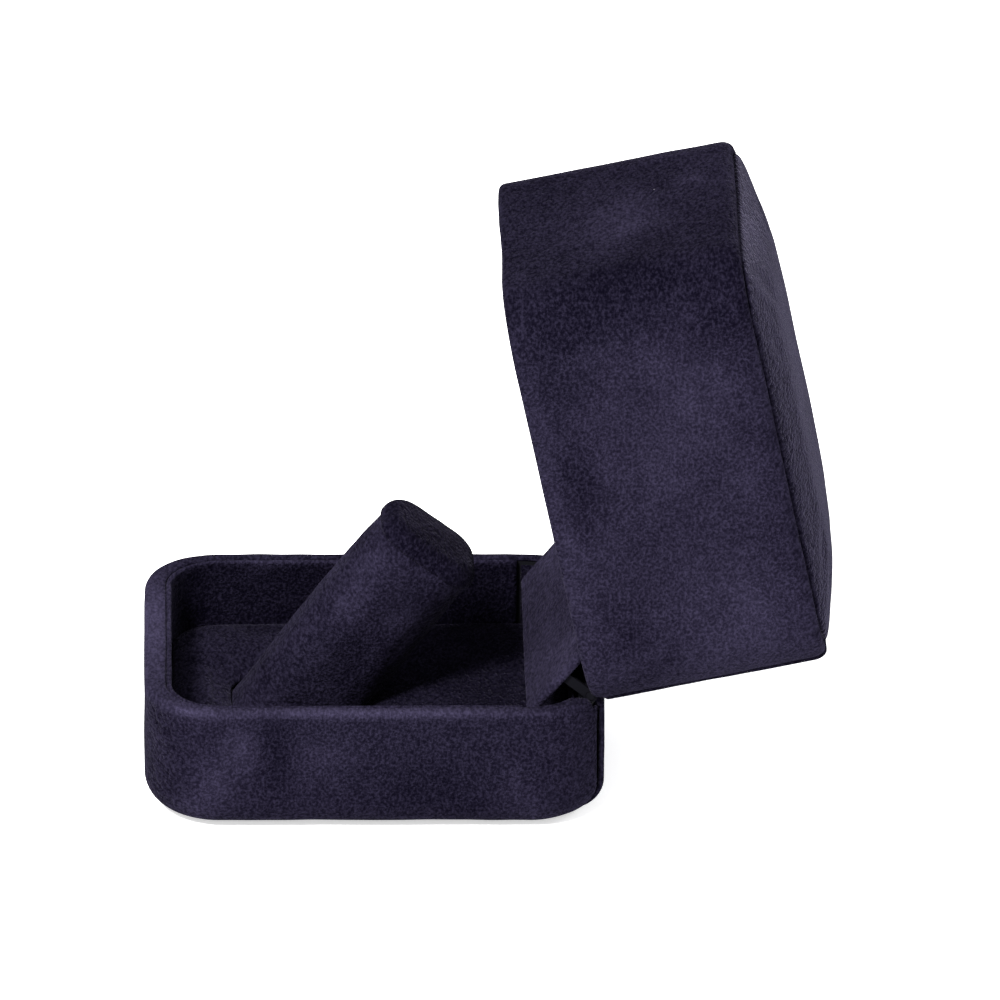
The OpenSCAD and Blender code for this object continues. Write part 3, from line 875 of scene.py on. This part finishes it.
def makeLinings():
    style = liningStyle
    floorZ = boardZ
    mirrored = 2 * pinZ
    jobs = [
        ("velvet_base_liner", style["linerT"], floorZ, baseTop - style["drop"], wallColumns, None, 1, "base",
         "base_liner"),
        ("velvet_base_rear_lining", style["rearT"], floorZ, baseTop - style["rearDrop"], rearColumns,
         style["rearY"], 1, "base", "base_rear_lining"),
        ("velvet_lid_liner", style["linerT"], mirrored - roofZ, baseTop - style["drop"], wallColumns, None, -1,
         "lid", "lid_liner"),
        ("velvet_lid_rear_lining", style["rearT"], mirrored - roofZ, baseTop - style["rearDrop"], rearColumns,
         style["rearY"], -1, "lid", "lid_rear_lining"),
    ]
    for name, thick, low, top, columns, clampY, up, body, node in jobs:
        piece = solidStrip(name, hollowPath, stripProfile(thick, low, top), columns, clampY)
        handLaid(piece, [(0.03, 9.0, 31), (0.015, 3.0, 32)])
        # Painted highlight along the lining's top edge
        paintLightAndNap(piece, [((0, 0, baseTop), (60, 60, 0.6), 1.0)])
        if up < 0:
            points = meshPoints(piece)
            points[:, 2] = mirrored - points[:, 2]
            setPoints(piece, swing(points, openAngle))
            tidyMesh(piece)
        give(piece, body, wallVelvetPaintedShade, [node])


makeLinings()


def makeUnderlay():
    # Thin sheet under the base: a rounded rectangle with softened edges
    low, high = nodeBox("base_underlay")
    ring = lambda inset: [high[0] - inset, low[1] + inset, high[1] - inset, 5.5 - inset]
    profile = np.array([(0.25, low[2]), (0.08, low[2] + 0.05), (0, low[2] + 0.25), (0.08, high[2] - 0.05),
                        (0.25, high[2])])
    path = ringPath(high[0], high[1], 5.5, 1.2)
    piece = gridMesh("velvet_underlay", stack(path, ringRows(ring, profile)), closeColumns=True, capEnds=True)
    give(piece, "base", liningVelvetPaintedShade, ["base_underlay"])


makeUnderlay()

# Padded pieces
fingerStyle = {
    "lean": 53.0,        # from the floor
    "foot": (0.0, -14.0, 4.0),
    "width": 13.0,
    "depth": 15.0,
    "length": 37.9,
    "cornerR": 4.5,
    "rootZ": 6.0,        # the foam is cut level here, on the floor's board
    "tipR": 2.4,
    "hoodDown": 2.7,     # how far the tip's velvet hood reaches down the finger
    "hoodOut": 0.32,     # how far it stands proud
}


def alongFinger(points):
    # Finger coordinates (across, deep, along) to the frame: along leans back from the floor
    a = math.radians(90 - fingerStyle["lean"])
    x, deep, along = points[..., 0], points[..., 1], points[..., 2]
    foot = fingerStyle["foot"]
    y = foot[1] + deep * math.cos(a) + along * math.sin(a)
    z = foot[2] - deep * math.sin(a) + along * math.cos(a)
    return np.stack([foot[0] + x, y, z], axis=-1)


def fingerRing(inset):
    style = fingerStyle
    radius = max(style["cornerR"] - inset, 0.3)
    return [style["width"] / 2 - inset, -style["depth"] / 2 + inset, style["depth"] / 2 - inset, radius]


def makeFinger():
    style = fingerStyle
    tip = style["tipR"]
    top = style["length"]
    dome = [(tip + d, top + 0.25 * math.sin(d / 4.0 * math.pi / 2)) for d in np.arange(0.5, 4.05, 0.5)]
    profile = np.vstack([
        line((0, 0), (0, top - tip), step),
        arc((tip, top - tip), (tip, tip), 180, 90, 0.35),
        [(tip, top)],
        dome,
    ])
    path = ringPath(style["width"] / 2, style["depth"] / 2, style["cornerR"], step * 0.9)
    grid = stack(path, ringRows(fingerRing, profile))
    a = math.radians(90 - style["lean"])
    root = (style["rootZ"] - style["foot"][2] + grid[..., 1] * math.sin(a)) / math.cos(a)
    wall = top - tip
    grid[..., 2] = np.where(grid[..., 2] < wall, root + grid[..., 2] / wall * (wall - root), grid[..., 2])
    swell = 0.28 * np.sin(np.clip((grid[..., 2] - 7) / 28, 0, 1) * math.pi)
    grid[..., 0] *= 1 + swell / 6.5
    grid[..., 1] *= 1 + swell / 7.5
    piece = gridMesh("padded_finger", alongFinger(grid), closeColumns=True, capEnds=True)
    puff(piece, {"voxel": 0.5, "tension": 12, "bending": 0.4, "pressure": 3.0, "cap": 0.3, "calm": 6,
                 "heldWhere": lambda p: p[:, 2] < floorHigh[2] - 0.5})
    handLaid(piece, [(0.1, 11.0, 41), (0.04, 4.4, 42)])
    give(piece, "base", fingerVelvetPaintedLight, ["finger_cover", "finger_foam"])


def makeFingerHood():
    # Velvet hood glued over the tip: its lower edge makes the fold line on the finger
    style = fingerStyle
    out, tip = style["hoodOut"], style["tipR"]
    top = style["length"] + out
    foot = style["length"] - style["hoodDown"]
    dome = [(tip - out + d, top + 0.3 * math.sin(d / 4.0 * math.pi / 2)) for d in np.arange(0.5, 4.05, 0.5)]
    profile = np.vstack([
        [(0.1, foot - 0.05), (-out * 0.55, foot)],
        line((-out, foot + 0.3), (-out, top - tip), 0.45),
        arc((tip - out, top - tip), (tip, tip), 180, 90, 0.3),
        [(tip - out, top)],
        dome,
    ])
    path = ringPath(style["width"] / 2, style["depth"] / 2, style["cornerR"], 0.5)
    grid = stack(path, ringRows(fingerRing, profile))
    rise = 0.3 * np.cos(np.arctan2(grid[..., 1], grid[..., 0]) * 2 + 0.6)
    low = np.clip((top - tip - grid[..., 2]) / style["hoodDown"], 0, 1)
    grid[..., 2] += rise * low
    piece = gridMesh("velvet_finger_hood", alongFinger(grid), closeColumns=True, capEnds=True)
    handLaid(piece, [(0.06, 6.0, 51), (0.03, 2.4, 52)])
    give(piece, "base", hoodVelvetPaintedShade, ["finger_cap"])


def makeFloorPad():
    # Padded floor with a slot for the finger: it dips at the walls and at the finger's foot
    style = fingerStyle
    a = math.radians(90 - style["lean"])
    slope = math.tan(a)
    halfDeep = style["depth"] / 2 / math.cos(a)
    high, low = floorHigh[2], floorLow[2] + 0.05
    middleY = style["foot"][1]

    def slotRing(out, height):
        centre = middleY + (height - style["foot"][2]) * slope
        half = style["width"] / 2 + 0.12 + out
        return [half, centre - halfDeep - 0.12 - out, centre + halfDeep + 0.12 + out,
                style["cornerR"] + 0.12 + out, height]

    def wallRing(inset, height):
        return [floorHigh[0] - inset, floorLow[1] + inset, floorHigh[1] - inset, 6.9 - inset, height]

    def crown(d):
        return high - 1.1 * math.exp(-d / 1.3)

    inner = [slotRing(d, crown(d) - 0.25) for d in np.linspace(0, 3.2, 8)]
    outer = [wallRing(d, crown(d)) for d in np.linspace(3.2, 0, 10)]
    first, last = np.array(inner[-1]), np.array(outer[0])
    f = (np.arange(1, 24) / 24)[:, None]
    bridgeRows = first + (last - first) * f
    bridgeRows[:, 4] += 0.3 * np.sin(f[:, 0] * math.pi)
    under = [wallRing(0.4, low), slotRing(0.3, low)]
    rows = np.vstack([inner, bridgeRows, outer, under])
    path = ringPath(floorHigh[0], (floorHigh[1] - floorLow[1]) / 2, 6.9, step)
    piece = gridMesh("padded_floor", stack(path, rows), closeRows=True, closeColumns=True)
    handLaid(piece, [(0.1, 14.0, 61), (0.04, 6.0, 62)])
    # Painted shadow on the floor on the hinge side of the finger, and painted light across the front of the
    # floor
    paintLightAndNap(piece, [((10, 14, 10), (30, 13, 5), -0.5), ((0, -24, 10), (30, 5, 5), 0.2)])
    give(piece, "base", liningVelvetPaintedShade, ["floor_cover", "floor_foam"])


makeFinger()
makeFingerHood()
makeFloorPad()

# Flap over the hinge
flapStyle = {"half": 21.5, "height": 15.4, "thick": 1.2, "reach": 5.6, "cornerR": 1.1, "edgeR": 0.55}


def makeFlap():
    # Rounded plate: rings in x and z, stacked through its thickness, then leant to half the lid's angle
    style = flapStyle
    edge, thick = style["edgeR"], style["thick"]
    ring = lambda inset: [style["half"] - inset, -style["height"] / 2 + inset, style["height"] / 2 - inset,
                          max(style["cornerR"] - inset, 0.2)]
    faceIn = [(edge + d, -0.12 * (1 - math.exp(-d / 1.5))) for d in np.arange(6.2, 0.1, -0.6)]
    backIn = [(edge + d, thick) for d in np.arange(0.6, 6.3, 0.8)]
    profile = np.vstack([
        faceIn,
        arc((edge, edge), (edge, edge), -90, -180, 0.12),
        arc((edge, thick - edge), (edge, edge), 180, 90, 0.12),
        [(edge, thick)],
        backIn,
    ])
    path = ringPath(style["half"], style["height"] / 2, style["cornerR"], 0.5)
    plate = stack(path, ringRows(ring, profile))
    grid = np.stack([plate[..., 0], pinY - style["reach"] + plate[..., 2], pinZ + plate[..., 1]], axis=-1)
    piece = gridMesh("velvet_flap", grid, closeColumns=True, capEnds=True)
    handLaid(piece, [(0.05, 11.0, 71), (0.02, 4.4, 72)])
    setPoints(piece, swing(meshPoints(piece), bridgeAngle))
    give(piece, "bridge", flapVelvetPaintedLight, ["hinge_flap_cover"])


makeFlap()

# Lid
crest = {"across": 1.3, "down": 1.9, "dip": 0.5, "dipAt": 2.1}


def wrapProfileLid():
    # Outer round of the rim, wall, rolled ridge and the dip beside the pillow, as (inset, height)
    rim = form["rimR"]
    a, b = crest["across"], crest["down"]
    return np.vstack([
        [(rim, lidRim)],
        arc((rim, lidRim + rim), (rim, rim), -90, -180, 0.2),
        line((0, lidRim + rim), (0, lidTop - b), step),
        arc((a, lidTop - b), (a, b), 180, 90, 0.22),
        arc((a, lidTop - crest["dip"]), (crest["dipAt"] - a, crest["dip"]), 90, 0, 0.2),
        line((crest["dipAt"], lidTop - crest["dip"]), (6.0, lidTop - crest["dip"]), step),
    ])


def makeLidWrap():
    rimBand = rimRows(lidRim, -1)[::-1]
    rows = np.vstack([rimBand, ringRows(outerRing, wrapProfileLid())])
    grid = rearFall(stack(outerPath, rows), lidRim, lidRim + 7, -1)
    piece = gridMesh("velvet_lid_wrap", grid, closeColumns=True)
    cutSeamAndGroove(piece, lidRim, -1)
    points, normals = meshPoints(piece), meshNormals(piece)
    setPoints(piece, points - normals * seamSink(points, behindSeam)[:, None])
    handLaid(piece, [(0.09, 16.0, 81), (0.025, 6.0, 82)])
    paintLightAndNap(piece, lidPaintedLightAndShade)
    thicken(piece, form["velvet"])
    setPoints(piece, swing(meshPoints(piece), openAngle))
    give(piece, "lid", lidVelvet, ["lid_wrap"])


def lidPanelProfile():
    a, b = crest["across"], crest["down"]
    dipZ = lidTop - crest["dip"]
    end = slopedEnd()
    end[:, 1] = 2 * pinZ - end[:, 1]
    return np.vstack([
        line((rearY - 6, dipZ), (rearY - crest["dipAt"], dipZ), step),
        arc((rearY - a, dipZ), (crest["dipAt"] - a, crest["dip"]), 180, 90, 0.2),
        arc((rearY - a, lidTop - b), (a, b), 90, 0, 0.22),
        line((rearY, lidTop - b), end[0], step),
        end,
    ])


def domeRings(ring, heightAt, deepest, count):
    # Rings from the edge inwards, with the height given by the distance from the edge
    inset = deepest * (np.arange(count + 1) / count) ** 1.35
    return np.array([ring(d) + [heightAt(d)] for d in inset])


pillowStyle = {"inset": 1.65, "cornerR": 8.9, "edgeRise": 0.5, "edgeRun": 1.0, "crown": 2.6,
               "crownPower": 6}


def makePillow():
    # Height over the lid: edgeRise (1 - exp(-d / edgeRun)), d from the edge, and a crown of
    # (1 - |x / a|^n) (1 - |y / b|^n)
    style = pillowStyle
    start = style["inset"]
    under = lidTop - 0.3

    def ring(d):
        radius = max(style["cornerR"] - d, 0.6)
        return [halfWidth - start - d, -rearY + start + d, rearY - start - d, radius]

    def height(d):
        lift = style["edgeRise"] * (1 - math.exp(-d / style["edgeRun"]))
        return lidTop - 0.1 + lift

    rows = np.vstack([[ring(6.0) + [under]], [ring(0.35) + [under]], domeRings(ring, height, 23.6, 46)])
    path = ringPath(halfWidth - start - 0.05, rearY - start, style["cornerR"], step)
    grid = stack(path, rows)
    reach = np.array([halfWidth - start, rearY - start])
    dome = np.clip(1 - np.abs(grid[2:, :, :2] / reach) ** style["crownPower"], 0, 1)
    grid[2:, :, 2] += style["crown"] * dome.prod(-1)
    piece = gridMesh("padded_lid_pillow", grid, closeColumns=True, capEnds=True)
    puff(piece, {"voxel": 0.55, "tension": 14, "bending": 3.0, "pressure": 3.0, "cap": 0.35, "calm": 16,
                 "heldWhere": lambda p: p[:, 2] < lidTop + 0.25})
    handLaid(piece, [(0.1, 16.0, 91), (0.03, 6.0, 92)])
    # Painted shade along the pillow's near side, beside the groove
    paintLightAndNap(piece, [((26, 0, lidTop), (5, 60, 8), -0.25)])
    setPoints(piece, swing(meshPoints(piece), openAngle))
    give(piece, "lid", pillowVelvet, ["lid_top_cover", "lid_top_foam"])


def makeRoofPad():
    # Pad under the roof: it hangs from the roof and crowns downwards
    width, front, rear = padHigh[0] - 0.05, padLow[1] + 0.05, padHigh[1] - 0.05
    peak, root = padLow[2], padHigh[2]

    def ring(d):
        return [width - d, front + d, rear - d, max(7.0 - d, 0.6)]

    def height(d):
        return root - (root - peak + 0.1) * (1 - math.exp(-d / 1.5))

    rows = np.vstack([[ring(5.0) + [root]], domeRings(ring, height, 22.2, 40)])
    path = ringPath(width, (rear - front) / 2, 7.0, step * 1.15)
    piece = gridMesh("padded_lid_roof", stack(path, rows), closeColumns=True, capEnds=True)
    puff(piece, {"voxel": 0.6, "tension": 14, "bending": 0.6, "pressure": 3.0, "cap": 0.35, "calm": 16,
                 "heldWhere": lambda p: p[:, 2] > root - 0.6})
    handLaid(piece, [(0.1, 14.0, 101), (0.03, 6.0, 102)])
    setPoints(piece, swing(meshPoints(piece), openAngle))
    give(piece, "lid", liningVelvetPaintedShade, ["lid_pad_cover", "lid_pad_foam"])


makeLidWrap()
makeBackPanel("velvet_lid_back_panel", lidPanelProfile(), "lid", ["lid_back_panel"], lidVelvet, openAngle)
makePillow()
makeRoofPad()

# Stage, light and camera
view = {
    "target": (0.0, 17.888, 39.773),  # point on the camera's axis, mm
    "distance": 2662.5,
    "elevation": 25.817,
    "yaw": -1.214,
    "roll": -0.438,
    "lens": 677.0,
}


def makeCamera():
    elevation, yaw, roll = [math.radians(view[k]) for k in ("elevation", "yaw", "roll")]
    towards = np.array([math.cos(elevation) * math.cos(yaw), math.cos(elevation) * math.sin(yaw),
                        math.sin(elevation)])
    right = np.cross(-towards, (0, 0, 1))
    right /= np.linalg.norm(right)
    up = np.cross(right, -towards)
    rightRolled = math.cos(roll) * right - math.sin(roll) * up
    upRolled = math.sin(roll) * right + math.cos(roll) * up
    camera = bpy.data.objects.new("camera", bpy.data.cameras.new("camera"))
    scene.collection.objects.link(camera)
    place = (np.array(view["target"]) + towards * view["distance"]) * mm
    pose = Matrix.Identity(4)
    for column, axis in enumerate((rightRolled, upRolled, towards, place)):
        for row in range(3):
            pose[row][column] = axis[row]
    camera.matrix_world = pose
    camera.data.lens = view["lens"]
    camera.data.sensor_width = 36
    camera.data.clip_end = 50
    scene.camera = camera


def makeFloor():
    mesh = bpy.data.meshes.new("studio_floor")
    half = 12.0
    corners = [(-half, -half, 0), (half, -half, 0), (half, half, 0), (-half, half, 0)]
    mesh.from_pydata(corners, [], [(0, 1, 2, 3)])
    ground = bpy.data.objects.new("studio_floor", mesh)
    scene.collection.objects.link(ground)
    material, tree, skin, vector = newMaterial("paleFloor")
    mottle = addNode(tree, "ShaderNodeTexNoise", {"Scale": 3.0, "Detail": 2.0})
    colour = blendColour(tree, mottle.outputs["Fac"], (0.90, 0.90, 0.905), (0.93, 0.93, 0.935))
    join(tree, (vector, mottle.inputs["Vector"]), (colour, skin.inputs["Base Color"]))
    skin.inputs["Roughness"].default_value = 0.9
    skin.inputs["Specular IOR Level"].default_value = 0.1
    skin.inputs["Emission Color"].default_value = (1.0, 1.0, 1.0, 1.0)
    skin.inputs["Emission Strength"].default_value = 0.55
    ground.data.materials.append(material)


def makeLight(name, place, aim, size, power, tint):
    lamp = bpy.data.lights.new(name, "AREA")
    lamp.shape = "DISK"
    lamp.size = size
    lamp.energy = power
    lamp.color = tint
    holder = bpy.data.objects.new(name, lamp)
    scene.collection.objects.link(holder)
    away = (np.array(place) - np.array(aim)) / np.linalg.norm(np.array(place) - np.array(aim))
    side = np.cross((0, 0, 1), away)
    side /= np.linalg.norm(side)
    pose = Matrix.Identity(4)
    for column, axis in enumerate((side, np.cross(away, side), away, place)):
        for row in range(3):
            pose[row][column] = axis[row]
    holder.matrix_world = pose


def makeWorld():
    world = bpy.data.worlds.new("softStudio")
    world.use_nodes = True
    world.node_tree.nodes["Background"].inputs["Color"].default_value = (1.0, 1.0, 1.0, 1.0)
    world.node_tree.nodes["Background"].inputs["Strength"].default_value = 1.0
    scene.world = world
    scene.view_settings.view_transform = "Standard"
    scene.view_settings.look = "None"


makeCamera()
makeFloor()
makeWorld()
makeLight("keyLight", (0.96, -0.58, 1.27), (0, 0, 0.04), 0.4, 70.0, (1.0, 0.99, 0.98))
makeLight("backLight", (-0.5, 1.3, 0.9), (0, 0.03, 0.06), 0.6, 16.0, (0.98, 0.99, 1.0))
print("stage ready")
